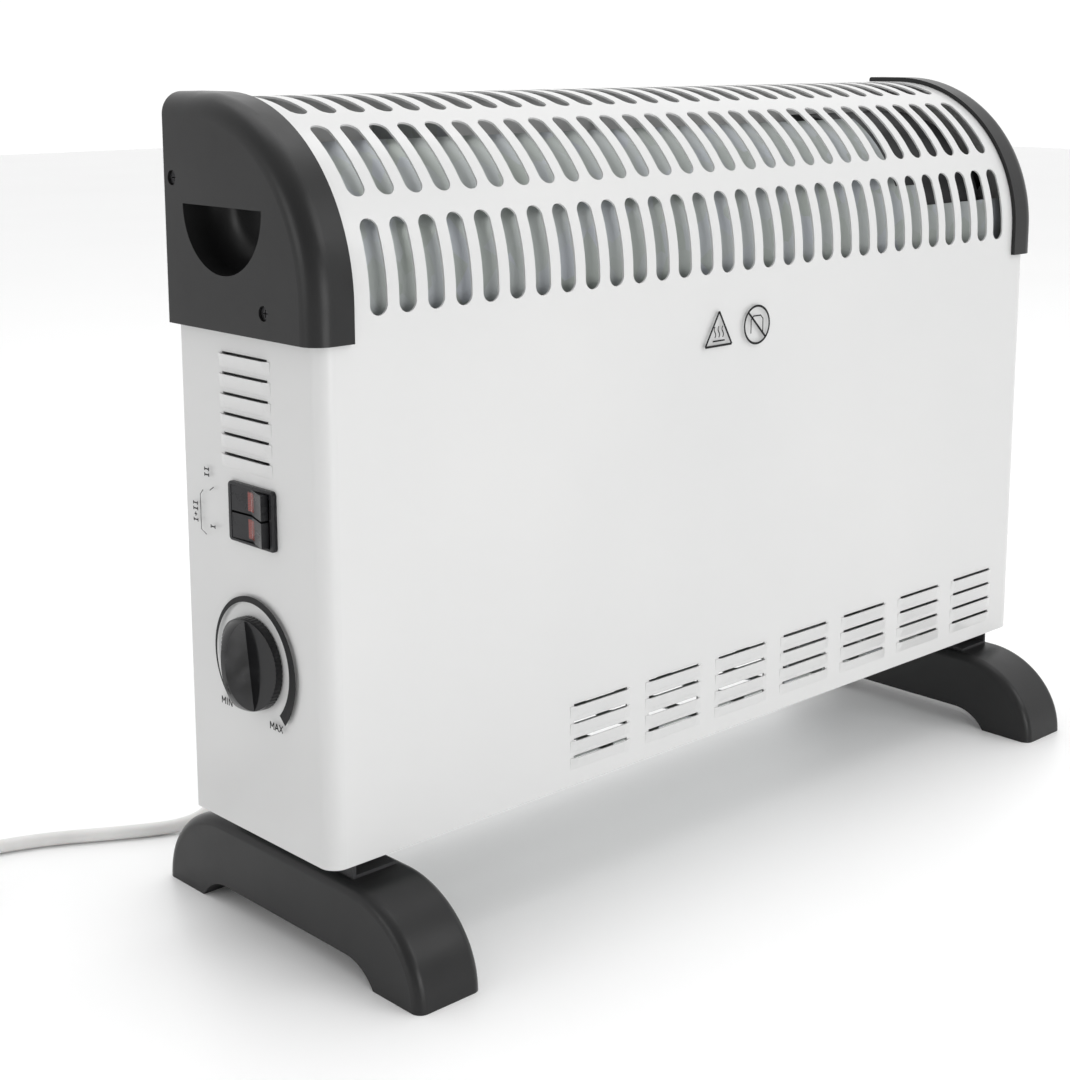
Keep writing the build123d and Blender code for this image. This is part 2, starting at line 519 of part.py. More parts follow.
# ---- bulkhead between the controls and the heating chamber -------------------------------------
with BuildPart() as control_bulkhead:
    with BuildSketch(Plane.YZ.offset(MID_X + BULKHEAD_X)):
        with BuildLine():
            edge_r = SHIELD_R - SHIELD_SHEET - 0.4
            Polyline((HOOD_Y, HOOD_Z + edge_r), (INNER_BACK_Y, HOOD_Z + edge_r),
                     (INNER_BACK_Y, 68), (HOOD_Y - edge_r, 68), (HOOD_Y - edge_r, HOOD_Z))
            CenterArc((HOOD_Y, HOOD_Z), edge_r, 90, 90)
        make_face()
        with Locations((10, 120)):
            Circle(6, mode=Mode.SUBTRACT)
    extrude(amount=0.8)
    add(block(on_case(BULKHEAD_X, -40, 68), on_case(BULKHEAD_X + 12, 44, 68.8)))
control_bulkhead.part.label = "control_bulkhead"
export_step(control_bulkhead.part, "parts/control_bulkhead.step")

# ---- heating element: insulating boards carrying two banks of wire coils -----------------------
LOWER_WIRES = [(y, LOWER_BANK_Z + 6 * (n % 2)) for n, y in enumerate(range(-30, 31, 10))]
UPPER_WIRES = [(y, UPPER_BANK_Z + 6 * (n % 2)) for n, y in enumerate(range(-24, 25, 12))]
with BuildPart() as element_boards:
    for x in BOARD_X:
        add(block(on_case(x, -BOARD_HALF_Y, BOARD_LOW_Z),
                  on_case(x + 1.6, BOARD_HALF_Y, BOARD_HIGH_Z)))
    for y, z in LOWER_WIRES + UPPER_WIRES:
        add(rod(on_case(BOARD_X[0] - 5, y, z), on_case(BOARD_X[-1] + 5, y, z), COIL_R + 0.2),
            mode=Mode.SUBTRACT)
element_boards.part.label = "element_boards"
export_step(element_boards.part, "parts/element_boards.step")

with BuildPart() as lower_heating_coils:
    for y, z in LOWER_WIRES:
        add(rod(on_case(BOARD_X[0] - 4, y, z), on_case(BOARD_X[-1] + 6, y, z), COIL_R))
lower_heating_coils.part.label = "lower_heating_coils"
export_step(lower_heating_coils.part, "parts/lower_heating_coils.step")

with BuildPart() as upper_heating_coils:
    for y, z in UPPER_WIRES:
        add(rod(on_case(BOARD_X[0] - 4, y, z), on_case(BOARD_X[-1] + 6, y, z), COIL_R))
upper_heating_coils.part.label = "upper_heating_coils"
export_step(upper_heating_coils.part, "parts/upper_heating_coils.step")

with BuildPart() as element_rails:
    for y in (-40.0, 38.4):
        add(block(on_case(BULKHEAD_X + 1, y, 128), on_case(SHIELD_STEP_X - 3, y + 1.2, 146)))
element_rails.part.label = "element_rails"
export_step(element_rails.part, "parts/element_rails.step")

# ---- fan: housing, motor, bracket, shaft and impeller ------------------------------------------
def fan_box(x, length, wall):
    """Solid with the fan housing's outline drawn in by a wall, from x on along the casing."""
    radius = FAN_BOX_R - wall
    angle = FAN_BOX_ANGLE + wall
    low, front, back = FAN_BOX_LOW_Z + wall, FAN_BOX_FRONT_Y + wall, FAN_BOX_BACK_Y - wall
    with BuildPart() as box:
        with BuildSketch(Plane.YZ.offset(MID_X + x)):
            with BuildLine():
                Polyline((HOOD_Y, HOOD_Z + radius), (back, HOOD_Z + radius), (back, low),
                         (front, low), (front, HOOD_Z), hood_point(radius, angle))
                CenterArc((HOOD_Y, HOOD_Z), radius, 90, 90 - angle)
            make_face()
        extrude(amount=length)
    return box.part


with BuildPart() as fan_housing:
    add(fan_box(FAN_BOX_X, FAN_BOX_LENGTH, 0))
    add(fan_box(FAN_BOX_X + FAN_BOX_WALL, FAN_BOX_LENGTH - 2 * FAN_BOX_WALL, FAN_BOX_WALL),
        mode=Mode.SUBTRACT)
    add(rod(on_case(FAN_X, FAN_Y, FAN_BOX_LOW_Z - 4), on_case(FAN_X, FAN_Y, FAN_LOW_Z + 8), FAN_R + 1.8),
        mode=Mode.SUBTRACT)
    add(block(on_case(FAN_BOX_X - 2, -34, 140), on_case(FAN_BOX_X + 3, 36, 205)), mode=Mode.SUBTRACT)
fan_housing.part.label = "fan_housing"
export_step(fan_housing.part, "parts/fan_housing.step")

with BuildPart() as fan_motor:
    coil_x = FAN_X + MOTOR_COIL_X
    add(block(on_case(FAN_X - MOTOR_HALF, FAN_Y - 9, MOTOR_LOW_Z + 3),
              on_case(FAN_X + MOTOR_HALF, FAN_Y + 9, MOTOR_HIGH_Z - 4)))
    add(rod(on_case(FAN_X, FAN_Y, MOTOR_LOW_Z), on_case(FAN_X, FAN_Y, MOTOR_HIGH_Z), MOTOR_CAN_R))
    add(rod(on_case(coil_x, FAN_Y, MOTOR_LOW_Z + 9), on_case(coil_x, FAN_Y, MOTOR_HIGH_Z - 8), MOTOR_COIL_R))
    add(block(on_case(FAN_X, FAN_Y - 4, MOTOR_LOW_Z + 12), on_case(coil_x, FAN_Y + 4, MOTOR_HIGH_Z - 12)))
    add(rod(on_case(FAN_X, FAN_Y, MOTOR_LOW_Z + 4), on_case(FAN_X, FAN_Y, MOTOR_HIGH_Z + 2),
            FAN_SHAFT_R + RUN_CLEAR), mode=Mode.SUBTRACT)
fan_motor.part.label = "fan_motor"
export_step(fan_motor.part, "parts/fan_motor.step")

with BuildPart() as motor_bracket:
    # a foot plate, two uprights and the shelf that the motor sits on
    floor_z = BOTTOM_Z + SHEET
    near_y, far_y = FAN_Y - MOUNT_HALF_Y, FAN_Y + MOUNT_HALF_Y
    add(block(on_case(FAN_X - 30, near_y, floor_z), on_case(FAN_X + 44, far_y, floor_z + MOUNT_SHEET)))
    for y in (near_y, far_y - MOUNT_SHEET):
        add(block(on_case(FAN_X - 12, y, floor_z), on_case(FAN_X + 12, y + MOUNT_SHEET, MOTOR_LOW_Z)))
    add(block(on_case(FAN_X - 12, near_y, MOTOR_LOW_Z - MOUNT_SHEET),
              on_case(FAN_X + 12, far_y, MOTOR_LOW_Z)))
motor_bracket.part.label = "motor_bracket"
export_step(motor_bracket.part, "parts/motor_bracket.step")

with BuildPart() as motor_shaft:
    add(rod(on_case(FAN_X, FAN_Y, MOTOR_LOW_Z + 6), on_case(FAN_X, FAN_Y, FAN_HIGH_Z + 2), FAN_SHAFT_R))
motor_shaft.part.label = "motor_shaft"
export_step(motor_shaft.part, "parts/motor_shaft.step")

with BuildPart() as fan_impeller:
    add(rod(on_case(FAN_X, FAN_Y, FAN_LOW_Z - 6), on_case(FAN_X, FAN_Y, FAN_HIGH_Z), HUB_R))
    blade_reach = FAN_R - HUB_R + 1
    hub_middle = Vector(*on_case(FAN_X, FAN_Y, (FAN_LOW_Z + FAN_HIGH_Z) / 2))
    for n in range(BLADES):
        turn = 360 / BLADES * n
        out = Vector(math.cos(math.radians(turn)), math.sin(math.radians(turn)), 0)
        spot = hub_middle + out * (HUB_R - 1 + blade_reach / 2)
        with Locations(Location(tuple(spot), (0, 0, turn)) * Location((0, 0, 0), (BLADE_PITCH, 0, 0))):
            Box(blade_reach, BLADE_CHORD, BLADE_SHEET)
    with Locations(tuple(hub_middle)):
        Cylinder(FAN_R, 60, mode=Mode.INTERSECT)
    add(rod(on_case(FAN_X, FAN_Y, FAN_LOW_Z - 8), on_case(FAN_X, FAN_Y, FAN_HIGH_Z + 1), FAN_SHAFT_R),
        mode=Mode.SUBTRACT)
fan_impeller.part.label = "fan_impeller"
export_step(fan_impeller.part, "parts/fan_impeller.step")

# ---- thermostat --------------------------------------------------------------------------------
INNER_FACE = HALF - SHEET
BUSH_OUT = HALF + 4.2       # how far the bush and the shaft reach out of the casing's end
KNOB_BACK = HALF + KNOB_GAP
KNOB_HEIGHT = KNOB_TIP - KNOB_BACK
SHAFT_OUT = KNOB_BACK + KNOB_SOCKET - 0.2
QUARTER = 0.5523            # handle length that makes a cubic curve a quarter of an ellipse


def on_dial(x, y=0.0, z=0.0):
    """Point on the dial's axis, or off it by y and z; x is from the casing's middle."""
    return on_case(x, DIAL_Y + y, DIAL_Z + z)


with BuildPart() as thermostat_body:
    rear_x = -INNER_FACE + 22
    add(block(on_dial(-INNER_FACE, -17, -15), on_dial(rear_x, 17, 15)))
    add(rod(on_dial(-INNER_FACE), on_dial(-BUSH_OUT), BUSH_R))
    for y in (-10.0, 10.0):
        add(block(on_dial(rear_x, y - 3.2, -9), on_dial(rear_x + 9, y + 3.2, -8.2)))
    add(rod(on_dial(-BUSH_OUT - 2), on_dial(-INNER_FACE + 14), SHAFT_R + RUN_CLEAR), mode=Mode.SUBTRACT)
thermostat_body.part.label = "thermostat_body"
export_step(thermostat_body.part, "parts/thermostat_body.step")

with BuildPart() as thermostat_nut:
    with BuildSketch(Plane(on_dial(-HALF), z_dir=(-1, 0, 0))):
        RegularPolygon(8.0, 6)
        Circle(BUSH_R + 0.02, mode=Mode.SUBTRACT)
    extrude(amount=2.6)
thermostat_nut.part.label = "thermostat_nut"
export_step(thermostat_nut.part, "parts/thermostat_nut.step")

with BuildPart() as thermostat_shaft:
    # round shaft with a flat where the knob drives it
    add(rod(on_dial(-INNER_FACE + 13), on_dial(-SHAFT_OUT), SHAFT_R))
    add(block(on_dial(-SHAFT_OUT - 1, SHAFT_R - 1.2, -4), on_dial(-BUSH_OUT - 0.6, SHAFT_R + 1, 4)),
        mode=Mode.SUBTRACT)
thermostat_shaft.part.label = "thermostat_shaft"
export_step(thermostat_shaft.part, "parts/thermostat_shaft.step")

with BuildPart() as thermostat_knob:
    # half an ellipsoid on a knurled disc, cut away on both flanks to a thin upright grip blade
    with BuildSketch(Plane(on_dial(-KNOB_BACK), x_dir=(0, 0, 1), z_dir=(0, 1, 0))):
        with BuildLine():
            Line((0, 0), (KNOB_R, 0))
            Line((KNOB_R, 0), (KNOB_R, -KNOB_BASE))
            Bezier((KNOB_R, -KNOB_BASE), (KNOB_R, -KNOB_BASE - QUARTER * (KNOB_HEIGHT - KNOB_BASE)),
                   (QUARTER * KNOB_R, -KNOB_HEIGHT), (0, -KNOB_HEIGHT))
            Line((0, -KNOB_HEIGHT), (0, 0))
        make_face()
    revolve(axis=Axis(on_dial(-KNOB_BACK), (1, 0, 0)))
    lean = math.radians(KNOB_TURN)
    outward = Vector(-1, 0, 0)
    for flank in (-1, 1):
        across = Vector(0, flank * math.cos(lean), -flank * math.sin(lean))
        with BuildSketch(Plane(on_dial(-KNOB_BACK), x_dir=across, z_dir=across.cross(outward))):
            Polygon((BLADE_ROOT, BLADE_FOOT), (KNOB_R, DISC_RIM), (KNOB_R + 5, DISC_RIM),
                    (KNOB_R + 5, KNOB_HEIGHT + 4), (BLADE_TIP, KNOB_HEIGHT + 4), (BLADE_TIP, KNOB_HEIGHT),
                    align=None)
        extrude(amount=KNOB_R + 5, both=True, mode=Mode.SUBTRACT)
    for n in range(KNURLS):
        turn = math.tau * n / KNURLS
        groove_y, groove_z = (KNOB_R + 0.25) * math.cos(turn), (KNOB_R + 0.25) * math.sin(turn)
        add(rod(on_dial(-KNOB_BACK + 1, groove_y, groove_z),
                on_dial(-KNOB_BACK - KNOB_BASE - 1, groove_y, groove_z), KNURL_R), mode=Mode.SUBTRACT)
    add(rod(on_dial(-KNOB_BACK + 1), on_dial(-KNOB_BACK - KNOB_RECESS), KNOB_RECESS_R), mode=Mode.SUBTRACT)
    add(rod(on_dial(-KNOB_BACK), on_dial(-KNOB_BACK - KNOB_SOCKET), SHAFT_R + 0.02), mode=Mode.SUBTRACT)
thermostat_knob.part.label = "thermostat_knob"
export_step(thermostat_knob.part, "parts/thermostat_knob.step")

# ---- twin rocker switch ------------------------------------------------------------------------
PIVOT = on_case(-HALF + ROCKER_PIVOT, SWITCH_Y, SWITCH_Z)
with BuildPart() as switch_housing:
    with BuildSketch(Plane(on_case(-HALF, SWITCH_Y, SWITCH_Z), x_dir=(0, 1, 0), z_dir=(-1, 0, 0))):
        RectangleRounded(2 * BEZEL_HALF_Y, 2 * BEZEL_HALF_Z, 2.0)
    extrude(amount=BEZEL_PROUD)
    outer_rim = switch_housing.faces().sort_by(Axis.X)[0].edges()
    fillet(outer_rim, 0.8)
    add(block(on_case(-HALF, SWITCH_Y - BODY_HALF_Y, SWITCH_Z - BODY_HALF_Z),
              on_case(-HALF + BODY_DEPTH, SWITCH_Y + BODY_HALF_Y, SWITCH_Z + BODY_HALF_Z)))
    add(block(on_case(-HALF - 4, SWITCH_Y - WELL_HALF_Y, SWITCH_Z - WELL_HALF_Z),
              on_case(-HALF + WELL_DEPTH, SWITCH_Y + WELL_HALF_Y, SWITCH_Z + WELL_HALF_Z)),
        mode=Mode.SUBTRACT)
switch_housing.part.label = "switch_housing"
export_step(switch_housing.part, "parts/switch_housing.step")

with BuildPart() as switch_pivot_pin:
    add(rod((PIVOT[0], PIVOT[1], SWITCH_Z - WELL_HALF_Z), (PIVOT[0], PIVOT[1], SWITCH_Z + WELL_HALF_Z),
            PIVOT_R))
switch_pivot_pin.part.label = "switch_pivot_pin"
export_step(switch_pivot_pin.part, "parts/switch_pivot_pin.step")


def rocker_blank(middle_z):
    """Rocker with a shallow V face, tipped to one stop, seen from above as an outline."""
    low_z = middle_z - ROCKER_HEIGHT / 2
    tilt = math.radians(ROCKER_TILT)
    tipped = Plane((PIVOT[0], PIVOT[1], low_z), x_dir=(-math.sin(tilt), -math.cos(tilt), 0),
                   z_dir=(0, 0, 1))
    with BuildPart() as blank:
        with BuildSketch(tipped):
            Polygon((-ROCKER_HALF, -7.2), (0, -4.6), (ROCKER_HALF, -7.2), (ROCKER_HALF, -3.5),
                    (5, 3.2), (-5, 3.2), (-ROCKER_HALF, -3.5), align=None)
            Circle(PIVOT_R + RUN_CLEAR, mode=Mode.SUBTRACT)
        extrude(amount=ROCKER_HEIGHT)
    return blank.part


def lens_window(middle_z):
    """Space that the indicator lens takes in a rocker's face."""
    return block((PIVOT[0] - 8, PIVOT[1] - 2.8, middle_z - LENS_HALF_Z),
                 (PIVOT[0] - 3.4, PIVOT[1] + 2.8, middle_z + LENS_HALF_Z))


UPPER_Z, LOWER_Z = SWITCH_Z + ROCKER_OFFSET, SWITCH_Z - ROCKER_OFFSET
with BuildPart() as upper_rocker:
    add(rocker_blank(UPPER_Z))
    add(lens_window(UPPER_Z), mode=Mode.SUBTRACT)
upper_rocker.part.label = "upper_rocker"
export_step(upper_rocker.part, "parts/upper_rocker.step")

with BuildPart() as lower_rocker:
    add(rocker_blank(LOWER_Z))
    add(lens_window(LOWER_Z), mode=Mode.SUBTRACT)
lower_rocker.part.label = "lower_rocker"
export_step(lower_rocker.part, "parts/lower_rocker.step")

with BuildPart() as upper_rocker_lens:
    add(rocker_blank(UPPER_Z))
    add(lens_window(UPPER_Z), mode=Mode.INTERSECT)
upper_rocker_lens.part.label = "upper_rocker_lens"
export_step(upper_rocker_lens.part, "parts/upper_rocker_lens.step")

with BuildPart() as lower_rocker_lens:
    add(rocker_blank(LOWER_Z))
    add(lens_window(LOWER_Z), mode=Mode.INTERSECT)
lower_rocker_lens.part.label = "lower_rocker_lens"
export_step(lower_rocker_lens.part, "parts/lower_rocker_lens.step")

with BuildPart() as switch_terminals:
    for y in (-9.0, 0.0, 9.0):
        for z in (LOWER_Z, UPPER_Z):
            add(block(on_case(-HALF + BODY_DEPTH, SWITCH_Y + y - 0.4, z - 2.4),
                      on_case(-HALF + BODY_DEPTH + 9, SWITCH_Y + y + 0.4, z + 2.4)))
switch_terminals.part.label = "switch_terminals"
export_step(switch_terminals.part, "parts/switch_terminals.step")

# ---- terminal block, overheat cut-out and cord grip --------------------------------------------
with BuildPart() as terminal_block:
    add(block(on_case(-222, -14, BOTTOM_Z + SHEET), on_case(-192, 16, BOTTOM_Z + SHEET + 14)))
    for x in (-216.0, -207.0, -198.0):
        add(rod(on_case(x, -8, 60), on_case(x, -8, 70), 2.2), mode=Mode.SUBTRACT)
        add(rod(on_case(x, 10, 60), on_case(x, 10, 70), 2.2), mode=Mode.SUBTRACT)
terminal_block.part.label = "terminal_block"
export_step(terminal_block.part, "parts/terminal_block.step")

with BuildPart() as thermal_cutout:
    add(rod(on_case(BULKHEAD_X, -12, 214), on_case(BULKHEAD_X - 9, -12, 214), 8))
    add(block(on_case(BULKHEAD_X - 1, -26, 211), on_case(BULKHEAD_X, 2, 217)))
    for y in (-15.0, -9.0):
        add(block(on_case(BULKHEAD_X - 16, y - 0.4, 212), on_case(BULKHEAD_X - 9, y + 0.4, 216)))
thermal_cutout.part.label = "thermal_cutout"
export_step(thermal_cutout.part, "parts/thermal_cutout.step")

with BuildPart() as cable_gland:
    with BuildSketch(Plane((GLAND_X, 0, GLAND_Z), x_dir=(1, 0, 0), z_dir=(0, 0, 1))):
        Polygon((CORD_D / 2, CASE_BACK_Y - 5), (8.2, CASE_BACK_Y - 5), (8.2, CASE_BACK_Y - 1.5),
                (6.0, CASE_BACK_Y - 1.5), (6.0, CASE_BACK_Y + SHEET), (7.4, CASE_BACK_Y + SHEET),
                (7.4, CASE_BACK_Y + 4.0), (4.4, GLAND_END_Y), (CORD_D / 2, GLAND_END_Y), align=None)
    revolve(axis=Axis((GLAND_X, 0, GLAND_Z), (0, 1, 0)))
cable_gland.part.label = "cable_gland"
export_step(cable_gland.part, "parts/cable_gland.step")


# ---- mains lead: free stretch, stored coil, tail and plug --------------------------------------
def corner_radii(points):
    """Largest arc that the two runs beside each corner allow."""
    radii = []
    for before, corner, after in zip(points, points[1:], points[2:]):
        run_in, run_out = Vector(*corner) - Vector(*before), Vector(*after) - Vector(*corner)
        half_turn = math.radians(run_in.get_angle(run_out)) / 2
        radii.append(0.45 * min(run_in.length, run_out.length) / math.tan(half_turn))
    return radii


def cord_tube(points):
    """Round tube of runs joined by tangent arcs."""
    with BuildPart() as tube:
        with BuildLine() as route:
            FilletPolyline(*points, radius=corner_radii(points))
        with BuildSketch(Plane(origin=route.line @ 0, z_dir=route.line % 0)):
            Circle(CORD_D / 2)
        sweep()
    length = sum(edge.length for edge in route.edges())
    print("cord radii", [round(r) for r in corner_radii(points)], "length", round(length, 1),
          "volume ratio", round(tube.part.volume / (length * math.pi * CORD_D ** 2 / 4), 4))
    return tube.part


with BuildPart() as power_cord:
    add(cord_tube(CORD_ROUTE))
power_cord.part.label = "power_cord"
export_step(power_cord.part, "parts/power_cord.step")

with BuildPart() as cord_tail:
    add(cord_tube(TAIL_ROUTE))
cord_tail.part.label = "cord_tail"
export_step(cord_tail.part, "parts/cord_tail.step")

with BuildPart() as cord_coil:
    with BuildSketch(Plane((COIL_X, COIL_Y, COIL_BASE_Z))):
        Circle(COIL_OUTER)
        Circle(COIL_INNER, mode=Mode.SUBTRACT)
    extrude(amount=COIL_HEIGHT)
    fillet(cord_coil.edges(), 3)
cord_coil.part.label = "cord_coil"
export_step(cord_coil.part, "parts/cord_coil.step")

with BuildPart() as cord_tie:
    tie_low = (COIL_X + COIL_INNER - 1.3, COIL_Y - 4.5, 0.2)
    tie_high = (COIL_X + COIL_OUTER + 0.9, COIL_Y + 4.5, COIL_BASE_Z + COIL_HEIGHT + 0.8)
    add(block(tie_low, tie_high))
    add(block((tie_low[0] + 0.8, tie_low[1] - 1, COIL_BASE_Z),
              (tie_high[0] - 0.8, tie_high[1] + 1, COIL_BASE_Z + COIL_HEIGHT)), mode=Mode.SUBTRACT)
cord_tie.part.label = "cord_tie"
export_step(cord_tie.part, "parts/cord_tie.step")

with BuildPart() as plug_body:
    with BuildSketch(Plane((PLUG_X, 0, PLUG_Z), x_dir=(1, 0, 0), z_dir=(0, 0, 1))):
        Polygon((0, TAIL_ROUTE[-1][1]), (CORD_D / 2 + 0.8, TAIL_ROUTE[-1][1]), (7.5, PLUG_BACK_Y),
                (13.5, PLUG_BACK_Y - 4), (15.0, PLUG_BACK_Y - 16), (PLUG_R, PLUG_BACK_Y - 20),
                (PLUG_R, PLUG_FACE_Y), (0, PLUG_FACE_Y), align=None)
    revolve(axis=Axis((PLUG_X, 0, PLUG_Z), (0, 1, 0)))
    for side in (-1, 1):
        pin_x = PLUG_X + side * PIN_SPACING / 2
        add(rod((pin_x, PLUG_FACE_Y - 1, PLUG_Z), (pin_x, PLUG_FACE_Y + 12, PLUG_Z), PIN_R),
            mode=Mode.SUBTRACT)
plug_body.part.label = "plug_body"
export_step(plug_body.part, "parts/plug_body.step")

with BuildPart() as plug_pins:
    for side in (-1, 1):
        pin_x = PLUG_X + side * PIN_SPACING / 2
        add(rod((pin_x, PLUG_FACE_Y + 12, PLUG_Z), (pin_x, PIN_TIP_Y, PLUG_Z), PIN_R))
    fillet(plug_pins.edges().group_by(Axis.Y)[0], 1.2)
plug_pins.part.label = "plug_pins"
export_step(plug_pins.part, "parts/plug_pins.step")
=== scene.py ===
import json
import math

import bmesh
import bpy
from mathutils import Matrix, Vector


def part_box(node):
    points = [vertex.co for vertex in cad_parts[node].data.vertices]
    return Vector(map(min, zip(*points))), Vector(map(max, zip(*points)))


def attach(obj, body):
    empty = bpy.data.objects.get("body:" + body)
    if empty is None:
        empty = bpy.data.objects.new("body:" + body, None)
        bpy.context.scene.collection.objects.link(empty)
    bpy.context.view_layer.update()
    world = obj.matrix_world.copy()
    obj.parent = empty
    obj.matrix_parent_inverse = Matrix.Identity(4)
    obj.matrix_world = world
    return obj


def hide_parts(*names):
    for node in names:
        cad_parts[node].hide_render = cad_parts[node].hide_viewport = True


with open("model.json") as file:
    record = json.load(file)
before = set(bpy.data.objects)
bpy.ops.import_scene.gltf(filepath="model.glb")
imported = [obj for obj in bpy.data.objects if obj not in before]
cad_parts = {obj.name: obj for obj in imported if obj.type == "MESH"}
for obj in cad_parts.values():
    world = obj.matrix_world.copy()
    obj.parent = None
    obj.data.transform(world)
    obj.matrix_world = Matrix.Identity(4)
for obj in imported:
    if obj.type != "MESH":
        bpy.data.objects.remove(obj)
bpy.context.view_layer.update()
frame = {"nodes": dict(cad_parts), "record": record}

MM = 0.001
NODES = frame["nodes"]


# ---------------------------------------------------------------- camera

CAMERA_AT = (-0.710, -0.668, 0.404)
CAMERA_AZIMUTH = math.radians(-43.09)
CAMERA_TILT = math.radians(10.63)
CAMERA_ROLL = math.radians(-0.10)
CAMERA_LENS = 62.8
CAMERA_SHIFT_Y = -0.1296
CAMERA_SENSOR = 36.0
CAMERA_NEAR = 0.01
CAMERA_FAR = 50


def make_camera():
    """A camera 0.4 m up, out from the front corner of the control end."""
    data = bpy.data.cameras.new("camera")
    data.lens = CAMERA_LENS
    data.sensor_width = CAMERA_SENSOR
    data.sensor_fit = "AUTO"
    data.shift_y = CAMERA_SHIFT_Y
    data.clip_start = CAMERA_NEAR
    data.clip_end = CAMERA_FAR
    data.dof.use_dof = False
    camera = bpy.data.objects.new("camera", data)
    bpy.context.scene.collection.objects.link(camera)
    back = Vector((
        math.sin(CAMERA_AZIMUTH) * math.cos(CAMERA_TILT),
        -math.cos(CAMERA_AZIMUTH) * math.cos(CAMERA_TILT),
        math.sin(CAMERA_TILT),
    ))
    level = Vector((math.cos(CAMERA_AZIMUTH), math.sin(CAMERA_AZIMUTH), 0))
    upright = back.cross(level)
    right = math.cos(CAMERA_ROLL) * level + math.sin(CAMERA_ROLL) * upright
    up = back.cross(right)
    turn = Matrix((right, up, back)).transposed()
    camera.matrix_world = Matrix.Translation(CAMERA_AT) @ turn.to_4x4()
    bpy.context.scene.camera = camera


make_camera()


# ------------------------------------------------------- material helpers

NOISE_ROUGHNESS = 0.55
WEAR_SAMPLES = 4
WEAR_WIDTH = 0.0003
WEAR_FULL = 0.80
WEAR_NONE = 0.97


class Shade:
    """A node material: one Principled shader and short calls to feed it.

    The plain colour and roughness stand for the whole where nodes aren't read.
    """

    def __init__(self, name, color, roughness, **sockets):
        self.material = bpy.data.materials.new(name)
        self.material.use_nodes = True
        self.tree = self.material.node_tree
        self.shader = self.tree.nodes["Principled BSDF"]
        self.shader.inputs["Base Color"].default_value = (*color, 1)
        self.shader.inputs["Roughness"].default_value = roughness
        for socket, value in sockets.items():
            self.shader.inputs[socket.replace("_", " ")].default_value = value
        self.place = self.add("ShaderNodeTexCoord").outputs["Object"]

    def add(self, kind, **settings):
        """A new node with its settings."""
        node = self.tree.nodes.new(kind)
        for name, value in settings.items():
            setattr(node, name, value)
        return node

    def join(self, source, target):
        """A link from an output to an input."""
        self.tree.links.new(source, target)

    def texture(self, kind, scale, stretch=(1, 1, 1), **settings):
        """A texture of so many features per metre, drawn out along an axis by a small stretch."""
        mapping = self.add("ShaderNodeMapping")
        mapping.inputs["Scale"].default_value = stretch
        self.join(self.place, mapping.inputs["Vector"])
        texture = self.add(kind, **settings)
        texture.inputs["Scale"].default_value = scale
        self.join(mapping.outputs["Vector"], texture.inputs["Vector"])
        return texture

    def noise(self, scale, detail=3, stretch=(1, 1, 1)):
        """Cloudy greys; more detail adds finer lumps."""
        noise = self.texture("ShaderNodeTexNoise", scale, stretch)
        noise.inputs["Detail"].default_value = detail
        noise.inputs["Roughness"].default_value = NOISE_ROUGHNESS
        return noise.outputs["Fac"]

    def cells(self, scale):
        """The distance to scattered points, as for moulded grain."""
        return self.texture("ShaderNodeTexVoronoi", scale, feature="F1").outputs["Distance"]

    def bands(self, scale):
        """Level bands up the height of the part."""
        settings = {"wave_type": "BANDS", "bands_direction": "Z"}
        return self.texture("ShaderNodeTexWave", scale, **settings).outputs["Fac"]

    def cell_tint(self, scale, stretch=(1, 1, 1)):
        """One random grey for each crystal, as in zinc spangle."""
        cells = self.texture("ShaderNodeTexVoronoi", scale, stretch, feature="F1")
        grey = self.add("ShaderNodeSeparateColor")
        self.join(cells.outputs["Color"], grey.inputs["Color"])
        return grey.outputs["Red"]

    def ramp(self, source, *stops):
        """Colours at given places of the source, each stop a place and a colour."""
        ramp = self.add("ShaderNodeValToRGB")
        band = ramp.color_ramp
        while len(band.elements) < len(stops):
            band.elements.new(1)
        for element, (place, color) in zip(band.elements, stops):
            element.position = place
            element.color = (*color, 1)
        self.join(source, ramp.inputs["Fac"])
        return ramp.outputs["Color"]

    def color(self, source, *stops):
        """The shader's colour as a ramp of the source."""
        self.join(self.ramp(source, *stops), self.shader.inputs["Base Color"])

    def gloss(self, source, low, high, start=0.3, end=0.7):
        """Roughness from low to high as the source goes from start to end."""
        span = self.add("ShaderNodeMapRange")
        span.inputs["From Min"].default_value = start
        span.inputs["From Max"].default_value = end
        span.inputs["To Min"].default_value = low
        span.inputs["To Max"].default_value = high
        self.join(source, span.inputs["Value"])
        self.join(span.outputs["Result"], self.shader.inputs["Roughness"])

    def bump(self, source, depth, strength):
        """Relief of so many metres from the source."""
        bump = self.add("ShaderNodeBump")
        bump.inputs["Strength"].default_value = strength
        bump.inputs["Distance"].default_value = depth
        self.join(source, bump.inputs["Height"])
        self.join(bump.outputs["Normal"], self.shader.inputs["Normal"])

    def worn_edges(self, worn, base):
        """A rubbed colour along edges, where the bevel's normal leaves the face's normal."""
        bevel = self.add("ShaderNodeBevel", samples=WEAR_SAMPLES)
        bevel.inputs["Radius"].default_value = WEAR_WIDTH
        geometry = self.add("ShaderNodeNewGeometry")
        match = self.add("ShaderNodeVectorMath", operation="DOT_PRODUCT")
        self.join(bevel.outputs["Normal"], match.inputs[0])
        self.join(geometry.outputs["Normal"], match.inputs[1])
        self.color(match.outputs["Value"], (WEAR_FULL, worn), (WEAR_NONE, base))


# -------------------------------------------------------------- materials

